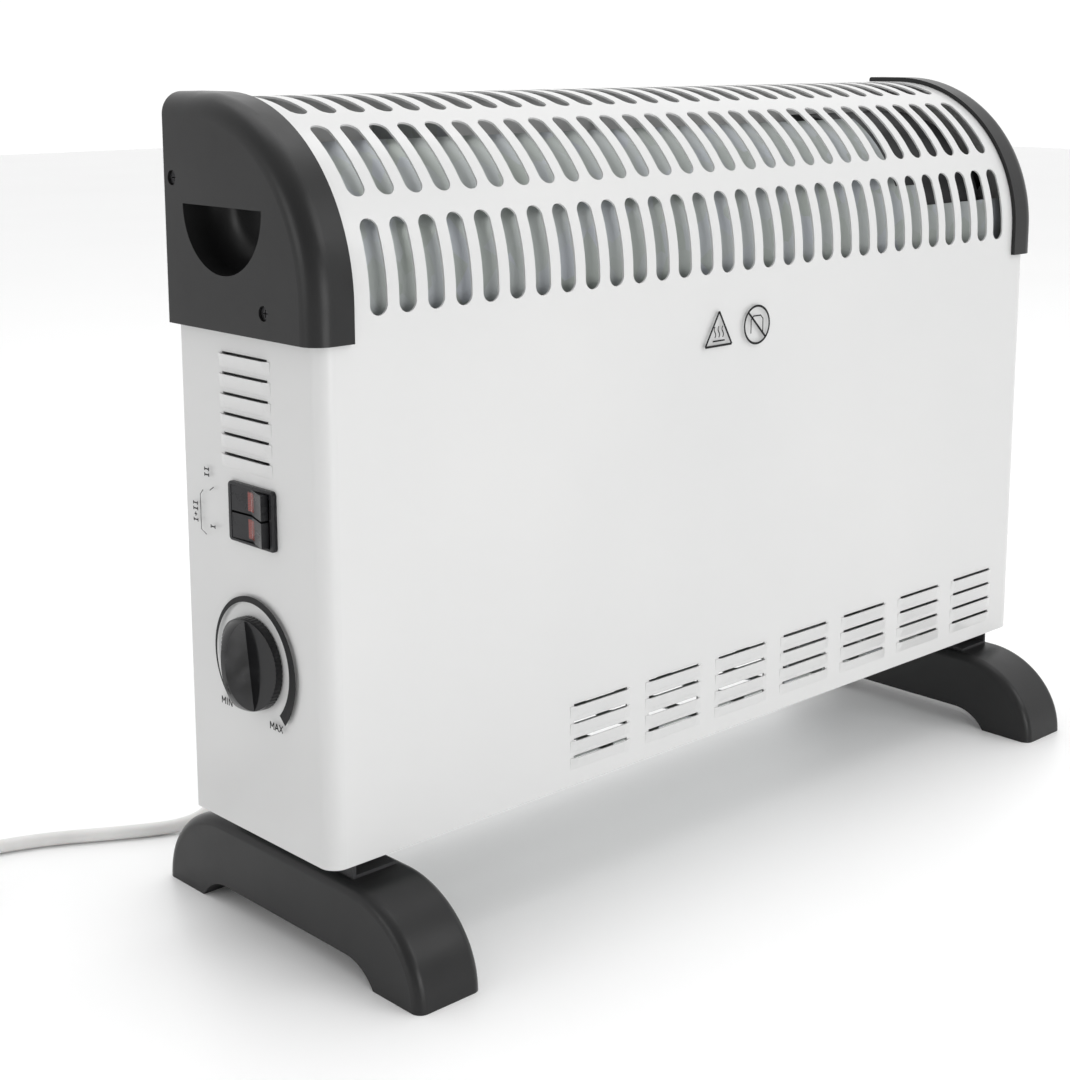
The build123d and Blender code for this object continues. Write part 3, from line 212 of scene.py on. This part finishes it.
def powder_coat():
    """White gloss powder coat on steel, with a very faint orange peel."""
    shade = Shade("white_powder_coat", (0.62, 0.62, 0.62), 0.3,
                  Coat_Weight=0.25, Coat_Roughness=0.12)
    shade.color(shade.noise(6, 2), (0.3, (0.630, 0.632, 0.630)), (0.7, (0.660, 0.660, 0.656)))
    shade.gloss(shade.noise(12, 1), 0.29, 0.32)
    shade.bump(shade.noise(260, 0), 0.00001, 0.15)
    return shade.material


def charcoal_plastic():
    """Moulded charcoal plastic with a fine spark-eroded grain and a satin gloss."""
    shade = Shade("charcoal_plastic", (0.015, 0.015, 0.0155), 0.34, Specular_IOR_Level=0.3)
    shade.color(shade.noise(14, 4), (0.3, (0.012, 0.012, 0.0123)), (0.7, (0.018, 0.018, 0.0184)))
    shade.gloss(shade.noise(60, 3), 0.29, 0.38)
    shade.bump(shade.cells(2200), 0.00002, 0.45)
    return shade.material


def gloss_black():
    """Polished black plastic with faint handling marks."""
    shade = Shade("gloss_black_plastic", (0.012, 0.012, 0.013), 0.12, Specular_IOR_Level=0.3,
                  Coat_Weight=0.1, Coat_Roughness=0.05)
    smears = shade.noise(90, 4, stretch=(1, 0.4, 1.6))
    shade.color(smears, (0.3, (0.005, 0.005, 0.0055)), (0.75, (0.011, 0.011, 0.012)))
    shade.gloss(smears, 0.08, 0.20)
    return shade.material


def switch_black():
    """Semi-gloss black of a snap-in switch."""
    shade = Shade("switch_black_plastic", (0.016, 0.016, 0.018), 0.3, Specular_IOR_Level=0.25)
    flow = shade.noise(120, 3)
    shade.color(flow, (0.3, (0.012, 0.012, 0.0135)), (0.7, (0.022, 0.022, 0.024)))
    shade.gloss(flow, 0.24, 0.36)
    shade.bump(shade.cells(3500), 0.00001, 0.4)
    return shade.material


def amber_lens():
    """Dark red-orange moulded lens, unlit, with ribs on its inner side."""
    shade = Shade("amber_lens", (0.20, 0.020, 0.012), 0.14,
                  IOR=1.49, Coat_Weight=0.4, Coat_Roughness=0.04)
    shade.color(shade.bands(420), (0.2, (0.09, 0.010, 0.010)), (0.8, (0.28, 0.030, 0.014)))
    shade.gloss(shade.noise(200, 2), 0.10, 0.18)
    return shade.material


def galvanised():
    """Zinc-coated sheet with a soft grey-green spangle and faint lines along the roll."""
    shade = Shade("galvanised_sheet", (0.36, 0.38, 0.37), 0.45, Metallic=0.55)
    spangle = shade.cell_tint(95, (1, 1, 0.8))
    shade.color(spangle, (0.0, (0.375, 0.405, 0.38)), (0.5, (0.43, 0.455, 0.448)),
                (1.0, (0.45, 0.473, 0.505)))
    shade.gloss(spangle, 0.38, 0.55, 0, 1)
    shade.bump(shade.noise(500, 3, stretch=(0.15, 1, 1)), 0.00002, 0.4)
    return shade.material


def zinc():
    """Bright zinc plating on small steel parts."""
    shade = Shade("zinc_fasteners", (0.58, 0.59, 0.60), 0.3, Metallic=1.0)
    cloud = shade.noise(220, 3)
    shade.color(cloud, (0.3, (0.50, 0.51, 0.52)), (0.7, (0.64, 0.645, 0.64)))
    shade.gloss(cloud, 0.24, 0.42)
    shade.bump(shade.noise(1800, 2), 0.00001, 0.4)
    return shade.material


def black_screw():
    """Black-oxide steel, rubbed bright at its edges."""
    shade = Shade("black_screws", (0.04, 0.04, 0.042), 0.35, Metallic=0.6)
    shade.worn_edges(worn=(0.16, 0.16, 0.165), base=(0.035, 0.035, 0.037))
    shade.gloss(shade.noise(600, 3), 0.28, 0.45)
    shade.bump(shade.noise(2500, 2), 0.00001, 0.4)
    return shade.material


def mica():
    """Mica board: tan flakes with a silvery sheen."""
    shade = Shade("mica_board", (0.42, 0.33, 0.22), 0.5, Coat_Weight=0.2, Coat_Roughness=0.3)
    flakes = shade.cell_tint(260)
    shade.color(flakes, (0.0, (0.34, 0.26, 0.17)), (0.6, (0.44, 0.35, 0.24)),
                (1.0, (0.55, 0.47, 0.36)))
    shade.gloss(flakes, 0.35, 0.6, 0, 1)
    shade.bump(shade.cells(260), 0.00006, 0.4)
    return shade.material


def resistance_wire():
    """Nickel-chrome wire, blued by heat."""
    shade = Shade("resistance_wire", (0.30, 0.28, 0.27), 0.4, Metallic=1.0)
    heat = shade.noise(45, 3)
    shade.color(heat, (0.3, (0.20, 0.18, 0.19)), (0.5, (0.32, 0.29, 0.27)),
                (0.7, (0.26, 0.27, 0.33)))
    shade.gloss(heat, 0.32, 0.5)
    return shade.material


def black_housing():
    """Matt glass-filled plastic of the inner housings and the foot brackets; on the foot brackets
    its dark colour is painted shade, standing in for the shadow in the gap between foot and
    casing.
    """
    shade = Shade("black_housing", (0.03, 0.03, 0.032), 0.6)
    fibres = shade.noise(700, 4, stretch=(0.25, 1, 1))
    shade.color(fibres, (0.3, (0.024, 0.024, 0.026)), (0.7, (0.042, 0.042, 0.044)))
    shade.gloss(fibres, 0.5, 0.7)
    shade.bump(fibres, 0.00002, 0.5)
    return shade.material


def motor_steel():
    """Laminated motor steel, oiled, with the lines of its sheets."""
    shade = Shade("motor_steel", (0.36, 0.36, 0.37), 0.4, Metallic=0.9)
    shade.color(shade.noise(80, 3), (0.3, (0.30, 0.30, 0.305)), (0.7, (0.42, 0.42, 0.42)))
    shade.gloss(shade.noise(150, 3), 0.32, 0.5)
    shade.bump(shade.bands(500), 0.00004, 0.4)
    return shade.material


def brass():
    """Stamped brass with a little tarnish."""
    shade = Shade("brass_contacts", (0.66, 0.50, 0.22), 0.3, Metallic=1.0)
    tarnish = shade.noise(160, 4)
    shade.color(tarnish, (0.3, (0.52, 0.37, 0.16)), (0.7, (0.72, 0.56, 0.27)))
    shade.gloss(tarnish, 0.24, 0.42)
    return shade.material


def cord_sheath():
    """White PVC sheath, satin, with a trace of grey from handling."""
    shade = Shade("white_cord", (0.74, 0.74, 0.73), 0.42, Subsurface_Weight=0.04)
    marks = shade.noise(35, 4)
    shade.color(marks, (0.3, (0.68, 0.68, 0.67)), (0.7, (0.78, 0.78, 0.77)))
    shade.gloss(marks, 0.38, 0.5)
    shade.bump(shade.noise(900, 2), 0.00002, 0.4)
    return shade.material


def tie_black():
    """Black nylon tie with a fine grain."""
    shade = Shade("black_tie", (0.03, 0.03, 0.03), 0.45)
    shade.color(shade.noise(300, 3), (0.3, (0.022, 0.022, 0.023)), (0.7, (0.045, 0.045, 0.047)))
    shade.gloss(shade.noise(300, 3), 0.38, 0.55)
    shade.bump(shade.noise(1500, 2), 0.00003, 0.5)
    return shade.material


def print_ink():
    """Charcoal pad-printing ink, slightly uneven."""
    shade = Shade("print_ink", (0.012, 0.012, 0.013), 0.45, Specular_IOR_Level=0.2)
    shade.color(shade.noise(700, 3), (0.3, (0.006, 0.006, 0.0065)), (0.7, (0.014, 0.014, 0.015)))
    shade.gloss(shade.noise(700, 3), 0.4, 0.55)
    return shade.material


MATERIALS = {
    "white_casing": powder_coat(),
    "charcoal_plastic": charcoal_plastic(),
    "gloss_black_plastic": gloss_black(),
    "switch_black_plastic": switch_black(),
    "amber_lens": amber_lens(),
    "galvanised_sheet": galvanised(),
    "zinc_fasteners": zinc(),
    "black_screws": black_screw(),
    "mica_board": mica(),
    "resistance_wire": resistance_wire(),
    # on the foot brackets this dark material is painted shade for the gap between foot and casing
    "black_housing": black_housing(),
    "motor_steel": motor_steel(),
    "brass_contacts": brass(),
    "white_cord": cord_sheath(),
    "black_tie": tie_black(),
}
INK = print_ink()


def paint_nodes():
    """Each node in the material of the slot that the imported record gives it."""
    for entry in frame["record"]["subparts"]:
        materials = NODES[entry["node"]].data.materials
        materials.clear()
        materials.append(MATERIALS[entry["material_slot"]])


paint_nodes()


# ------------------------------------------------------------------- cord

CORD_D = 6.8 * MM
CORD_EXIT = (-0.162, 0.076, 0.066)
CORD_ROUTE = [
    CORD_EXIT,
    (-0.1625, 0.094, 0.065),
    (-0.165, 0.112, 0.056),
    (-0.171, 0.125, 0.041),
    (-0.180, 0.1325, 0.024),
    (-0.192, 0.133, 0.010),
    (-0.209, 0.1345, 0.0036),
    (-0.238, 0.149, 0.0036),
    (-0.276, 0.1725, 0.0036),
    (-0.318, 0.184, 0.0038),
    (-0.345, 0.1903, 0.0042),
    (-0.364, 0.1917, 0.0044),
]
COIL_CENTRE = (-0.378, 0.147)
COIL_BOTTOM_Z = 0.0044
COIL_TOP_Z = 0.0103
COIL_OUTER = 0.0448
COIL_INNER = 0.0312
COIL_TOP_INNER = 0.0346
COIL_TOP_OUTER = 0.0414
TURN_POINTS = 16
BOTTOM_TURNS = 3
TOP_TURNS = 2.25
CLIMB_TURNS = 0.5
TAIL_ROUTE = [
    (-0.4194, 0.140, 0.0103),
    (-0.4202, 0.122, 0.012),
    (-0.4214, 0.107, 0.016),
    (-0.422, 0.093, 0.0186),
]


def blend_step(value):
    """0 to 1 with soft ends."""
    value = min(max(value, 0), 1)
    return value * value * (3 - 2 * value)


def coil_turns():
    """Turns on the floor, winding inwards, a climb, then turns on top, winding out again."""
    points = []
    total = BOTTOM_TURNS + TOP_TURNS
    climb_start = BOTTOM_TURNS - CLIMB_TURNS
    for step in range(1, int(total * TURN_POINTS)):
        turn = step / TURN_POINTS
        low = COIL_OUTER + (COIL_INNER - COIL_OUTER) * min(turn / climb_start, 1)
        high = COIL_TOP_INNER + (COIL_TOP_OUTER - COIL_TOP_INNER) * blend_step(
            (turn - BOTTOM_TURNS) / TOP_TURNS
        )
        lift = blend_step((turn - climb_start) / CLIMB_TURNS)
        radius = low + (high - low) * lift
        angle = math.pi / 2 + turn * math.tau
        points.append((
            COIL_CENTRE[0] + radius * math.cos(angle),
            COIL_CENTRE[1] + radius * math.sin(angle),
            COIL_BOTTOM_Z + (COIL_TOP_Z - COIL_BOTTOM_Z) * lift,
        ))
    return points


def cord_curve():
    """The whole lead from the gland to the plug, as one round curve."""
    points = CORD_ROUTE + coil_turns() + TAIL_ROUTE
    curve = bpy.data.curves.new("mains_cord", "CURVE")
    curve.dimensions = "3D"
    curve.bevel_depth = CORD_D / 2
    curve.bevel_resolution = 5
    curve.resolution_u = 6
    curve.use_fill_caps = True
    spline = curve.splines.new("NURBS")
    spline.points.add(len(points) - 1)
    for point, place in zip(spline.points, points):
        point.co = (*place, 1)
    spline.order_u = 3
    spline.use_endpoint_u = True
    curve.materials.append(MATERIALS["white_cord"])
    cord = bpy.data.objects.new("mains_cord", curve)
    bpy.context.scene.collection.objects.link(cord)
    return cord


cord = cord_curve()
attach(cord, "heater")
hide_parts("power_cord", "cord_tail", "cord_coil")


# -------------------------------------------------------- printed marks

INK_THICK = 0.05 * MM

CASE_LOW, CASE_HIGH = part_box("front_casing")
MID_X = (CASE_LOW.x + CASE_HIGH.x) / 2
END_X = CASE_LOW.x
FRONT_Y = CASE_LOW.y
LEFT = Vector((-1, 0, 0))
FRONT = Vector((0, -1, 0))


def add_print(name, build):
    """A print on the casing, from a function that fills a bmesh."""
    mesh = bpy.data.meshes.new(name)
    work = bmesh.new()
    build(work)
    work.to_mesh(mesh)
    work.free()
    piece = bpy.data.objects.new(name, mesh)
    bpy.context.scene.collection.objects.link(piece)
    mesh.materials.append(INK)
    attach(piece, "heater")


def solid_strip(work, left, right, out):
    """A closed band of ink between two rows of points, raised along out."""
    rise = out * INK_THICK
    rows = []
    for a, b in zip(left, right):
        rows.append([work.verts.new(corner) for corner in (a, b, b + rise, a + rise)])
    for near, far in zip(rows, rows[1:]):
        for side, following in enumerate((1, 2, 3, 0)):
            work.faces.new((near[side], near[following], far[following], far[side]))
    work.faces.new(rows[0][::-1])
    work.faces.new(rows[-1])
    bmesh.ops.recalc_face_normals(work, faces=work.faces)


def stroke(work, places, width, out):
    """A pen line through the places, its width in millimetres, on the plane square to out."""
    left = []
    right = []
    for index, place in enumerate(places):
        before = places[max(index - 1, 0)]
        after = places[min(index + 1, len(places) - 1)]
        side = out.cross((after - before).normalized()) * (width * MM / 2)
        left.append(place + side)
        right.append(place - side)
    solid_strip(work, left, right, out)


def end_face(y, z):
    """A place on the control end, in millimetres."""
    return Vector((END_X, y * MM, z * MM))


def front_face(x, z):
    """A place on the front, x from the casing's middle, in millimetres."""
    return Vector((MID_X + x * MM, FRONT_Y, z * MM))


DIAL_CENTRE = end_face(1.3, 135.6)
SCALE_INNER = 27.6 * MM
SCALE_THIN = 0.8 * MM
SCALE_THICK = 5.5 * MM
SCALE_SWELL = 1.15
SCALE_MIN = math.radians(131)
SCALE_MAX = math.radians(-134)
SCALE_STEPS = 72


def dial_scale(work):
    """The swelling arc round the thermostat, thin at its low end and thick at its high end."""
    inner = []
    outer = []
    for step in range(SCALE_STEPS + 1):
        share = step / SCALE_STEPS
        angle = SCALE_MIN + (SCALE_MAX - SCALE_MIN) * share
        width = SCALE_THIN + (SCALE_THICK - SCALE_THIN) * share ** SCALE_SWELL
        way = Vector((0, math.sin(angle), math.cos(angle)))
        inner.append(DIAL_CENTRE + way * SCALE_INNER)
        outer.append(DIAL_CENTRE + way * (SCALE_INNER + width))
    solid_strip(work, inner, outer, LEFT)


add_print("thermostat_scale", dial_scale)


# Letters as strokes on a unit grid, x to the reader's right and y up.
LETTERS = {
    "M": [
        [(0, 0), (0, 1)],
        [(0, 1), (0.4, 0.35)],
        [(0.4, 0.35), (0.8, 1)],
        [(0.8, 1), (0.8, 0)],
    ],
    "I": [[(0.2, 0), (0.2, 1)]],
    "N": [[(0, 0), (0, 1)], [(0, 1), (0.7, 0)], [(0.7, 0), (0.7, 1)]],
    "A": [[(0, 0), (0.4, 1)], [(0.4, 1), (0.8, 0)], [(0.15, 0.36), (0.65, 0.36)]],
    "X": [[(0, 0), (0.75, 1)], [(0, 1), (0.75, 0)]],
}
LETTER_STEP = {"M": 1.05, "I": 0.62, "N": 0.95, "A": 1.0, "X": 1.0}
LETTER_HEIGHT = 3.3
LETTER_PEN = 0.6
DIAL_WORDS = (("MIN", 21.9, 112.5), ("MAX", -16.3, 110.3))


def dial_words(work):
    """The ends of the scale; the reader looks along +X, so the reader's right is -Y."""
    for word, y, z in DIAL_WORDS:
        start = y + sum(LETTER_STEP[letter] for letter in word) * LETTER_HEIGHT / 2
        foot = z - LETTER_HEIGHT / 2
        for letter in word:
            for line in LETTERS[letter]:
                places = [
                    end_face(start - right * LETTER_HEIGHT, foot + up * LETTER_HEIGHT)
                    for right, up in line
                ]
                stroke(work, places, LETTER_PEN, LEFT)
            start -= LETTER_STEP[letter] * LETTER_HEIGHT


add_print("thermostat_words", dial_words)


SWITCH_WORDS = (("I", 28.9, 192.8), ("II", 32.6, 217.4), ("I+II", 42.6, 197.6))
SWITCH_LINES = (
    ((30.6, 209.2), (27.4, 211.2)),
    ((36.0, 208.6), (38.4, 206.2), (38.4, 190.0), (34.2, 188.2)),
)
SIGN_STEP = 2.6
SIGN_PEN = 0.6
POINTER_PEN = 0.4

# Signs of a word that reads upwards, each place as steps along Y and Z in millimetres.
TURNED_SIGNS = {
    "I": [[(1.6, 0), (-1.6, 0)], [(1.6, -0.8), (1.6, 0.8)], [(-1.6, -0.8), (-1.6, 0.8)]],
    "+": [[(1, 0), (-1, 0)], [(0, -1), (0, 1)]],
}


def switch_marks(work):
    """Heat settings beside the rockers: low I, high II and both together, with their pointers."""
    for word, y, z in SWITCH_WORDS:
        for index, sign in enumerate(word):
            middle = z + (index - (len(word) - 1) / 2) * SIGN_STEP
            for line in TURNED_SIGNS[sign]:
                places = [end_face(y + across, middle + along) for across, along in line]
                stroke(work, places, SIGN_PEN, LEFT)
    for line in SWITCH_LINES:
        stroke(work, [end_face(*place) for place in line], POINTER_PEN, LEFT)


add_print("switch_marks", switch_marks)


MARK_PEN = 1.15
TRIANGLE = [(-15.1, 274.6), (-25.2, 257.4), (-5.5, 257.5)]
HEAT_BASE = [(-19.8, 259.9), (-10.8, 259.9)]
HEAT_BASE_PEN = 0.7 * MARK_PEN
HEAT_BARS = (-18.2, -15.3, -12.4)
HEAT_LOW_Z = 261.6
HEAT_HIGH_Z = 267.2
HEAT_BEND = 0.6
HEAT_STEPS = 8
HEAT_PEN = 0.55 * MARK_PEN
RING_X = 13.8
RING_Z = 265.1
RING_RADIUS = 9.6
RING_POINTS = 48
COVER = [(-1, -0.9), (-1, 0.6), (-0.6, 1), (0.6, 1), (1, 0.6), (1, -0.9)]
COVER_HALF = 4.6
COVER_PEN = 0.6 * MARK_PEN


def on_ring(x, z, size):
    """A place on the front from the ring's centre, in units of size."""
    return front_face(RING_X + x * size, RING_Z + z * size)


def safety_marks(work):
    """A triangle with three heat lines, and a barred ring round a simple outline."""
    for start, end in zip(TRIANGLE, TRIANGLE[1:] + TRIANGLE[:1]):
        stroke(work, [front_face(*start), front_face(*end)], MARK_PEN, FRONT)
    stroke(work, [front_face(*place) for place in HEAT_BASE], HEAT_BASE_PEN, FRONT)
    for x in HEAT_BARS:
        wave = []
        for step in range(HEAT_STEPS + 1):
            share = step / HEAT_STEPS
            sway = HEAT_BEND * math.sin(math.tau * share)
            wave.append(front_face(x + sway, HEAT_LOW_Z + (HEAT_HIGH_Z - HEAT_LOW_Z) * share))
        stroke(work, wave, HEAT_PEN, FRONT)
    angles = [math.tau * step / RING_POINTS for step in range(RING_POINTS + 1)]
    ring = [on_ring(math.cos(angle), math.sin(angle), RING_RADIUS) for angle in angles]
    stroke(work, ring, MARK_PEN, FRONT)
    stroke(work, [on_ring(x, z, COVER_HALF) for x, z in COVER], COVER_PEN, FRONT)
    reach = RING_RADIUS * math.sqrt(0.5)
    stroke(work, [on_ring(-1, 1, reach), on_ring(1, -1, reach)], MARK_PEN, FRONT)


add_print("safety_marks", safety_marks)


# ------------------------------------------------------------------ stage

FLOOR_HALF = 6.0
WORLD_LIGHT = 1.04
WORLD_BRIGHT = 1.15
WORLD_DARK = 0.42
DARK_SIDE = (-0.68, -0.68, 0.0)
FADE_START = -0.5
FADE_END = 0.8

# Each area light: where it is, what it faces, its two sides and its power.
LIGHTS = {
    "key": ((0.7, -2.0, 1.8), (0, 0, 0.2), (1.6, 1.2), 14),
    "fill": ((-0.30, -1.5, 0.30), (-0.10, 0, 0.15), (0.8, 0.4), 5),
    "top": ((0.2, 0.3, 2.2), (0, 0, 0.3), (2.0, 1.4), 12),
    "left": ((-2.2, 0.4, 0.6), (-0.2, 0, 0.1), (0.8, 0.8), 5),
}


def make_floor():
    """A white floor wide enough for every view."""
    mesh = bpy.data.meshes.new("studio_floor")
    corners = [(-1, -1), (1, -1), (1, 1), (-1, 1)]
    places = [(x * FLOOR_HALF, y * FLOOR_HALF, 0) for x, y in corners]
    mesh.from_pydata(places, [], [(0, 1, 2, 3)])
    shade = Shade("studio_floor", (0.95, 0.95, 0.95), 0.35)
    shade.color(shade.noise(2, 2), (0.3, (0.95, 0.95, 0.95)), (0.7, (0.97, 0.97, 0.97)))
    mesh.materials.append(shade.material)
    floor = bpy.data.objects.new("studio_floor", mesh)
    bpy.context.scene.collection.objects.link(floor)


def area_light(name, place, target, size, power):
    """A rectangular light turned to face its target."""
    data = bpy.data.lights.new(name, "AREA")
    data.shape = "RECTANGLE"
    data.size, data.size_y = size
    data.energy = power
    light = bpy.data.objects.new(name, data)
    bpy.context.scene.collection.objects.link(light)
    way = Vector(place) - Vector(target)
    light.rotation_mode = "QUATERNION"
    light.rotation_quaternion = way.to_track_quat("Z", "Y")
    light.location = place


def make_world():
    """White as the camera sees it; as light and in reflections, darker to the front left."""
    world = bpy.data.worlds.new("studio")
    world.use_nodes = True
    tree = world.node_tree
    background = tree.nodes["Background"]
    background.inputs["Color"].default_value = (1, 1, 1, 1)
    sky = tree.nodes.new("ShaderNodeTexCoord")
    facing = tree.nodes.new("ShaderNodeVectorMath")
    facing.operation = "DOT_PRODUCT"
    facing.inputs[1].default_value = DARK_SIDE
    tree.links.new(sky.outputs["Generated"], facing.inputs[0])
    fade = tree.nodes.new("ShaderNodeMapRange")
    fade.inputs["From Min"].default_value = FADE_START
    fade.inputs["From Max"].default_value = FADE_END
    fade.inputs["To Min"].default_value = WORLD_BRIGHT
    fade.inputs["To Max"].default_value = WORLD_DARK
    tree.links.new(facing.outputs["Value"], fade.inputs["Value"])
    rays = tree.nodes.new("ShaderNodeLightPath")
    choice = tree.nodes.new("ShaderNodeMix")
    choice.inputs["B"].default_value = WORLD_LIGHT
    tree.links.new(rays.outputs["Is Camera Ray"], choice.inputs["Factor"])
    tree.links.new(fade.outputs["Result"], choice.inputs["A"])
    tree.links.new(choice.outputs["Result"], background.inputs["Strength"])
    bpy.context.scene.world = world


make_floor()
make_world()
for light_name, settings in LIGHTS.items():
    area_light(light_name, *settings)
bpy.context.scene.view_settings.view_transform = "Standard"

bpy.context.view_layer.update()
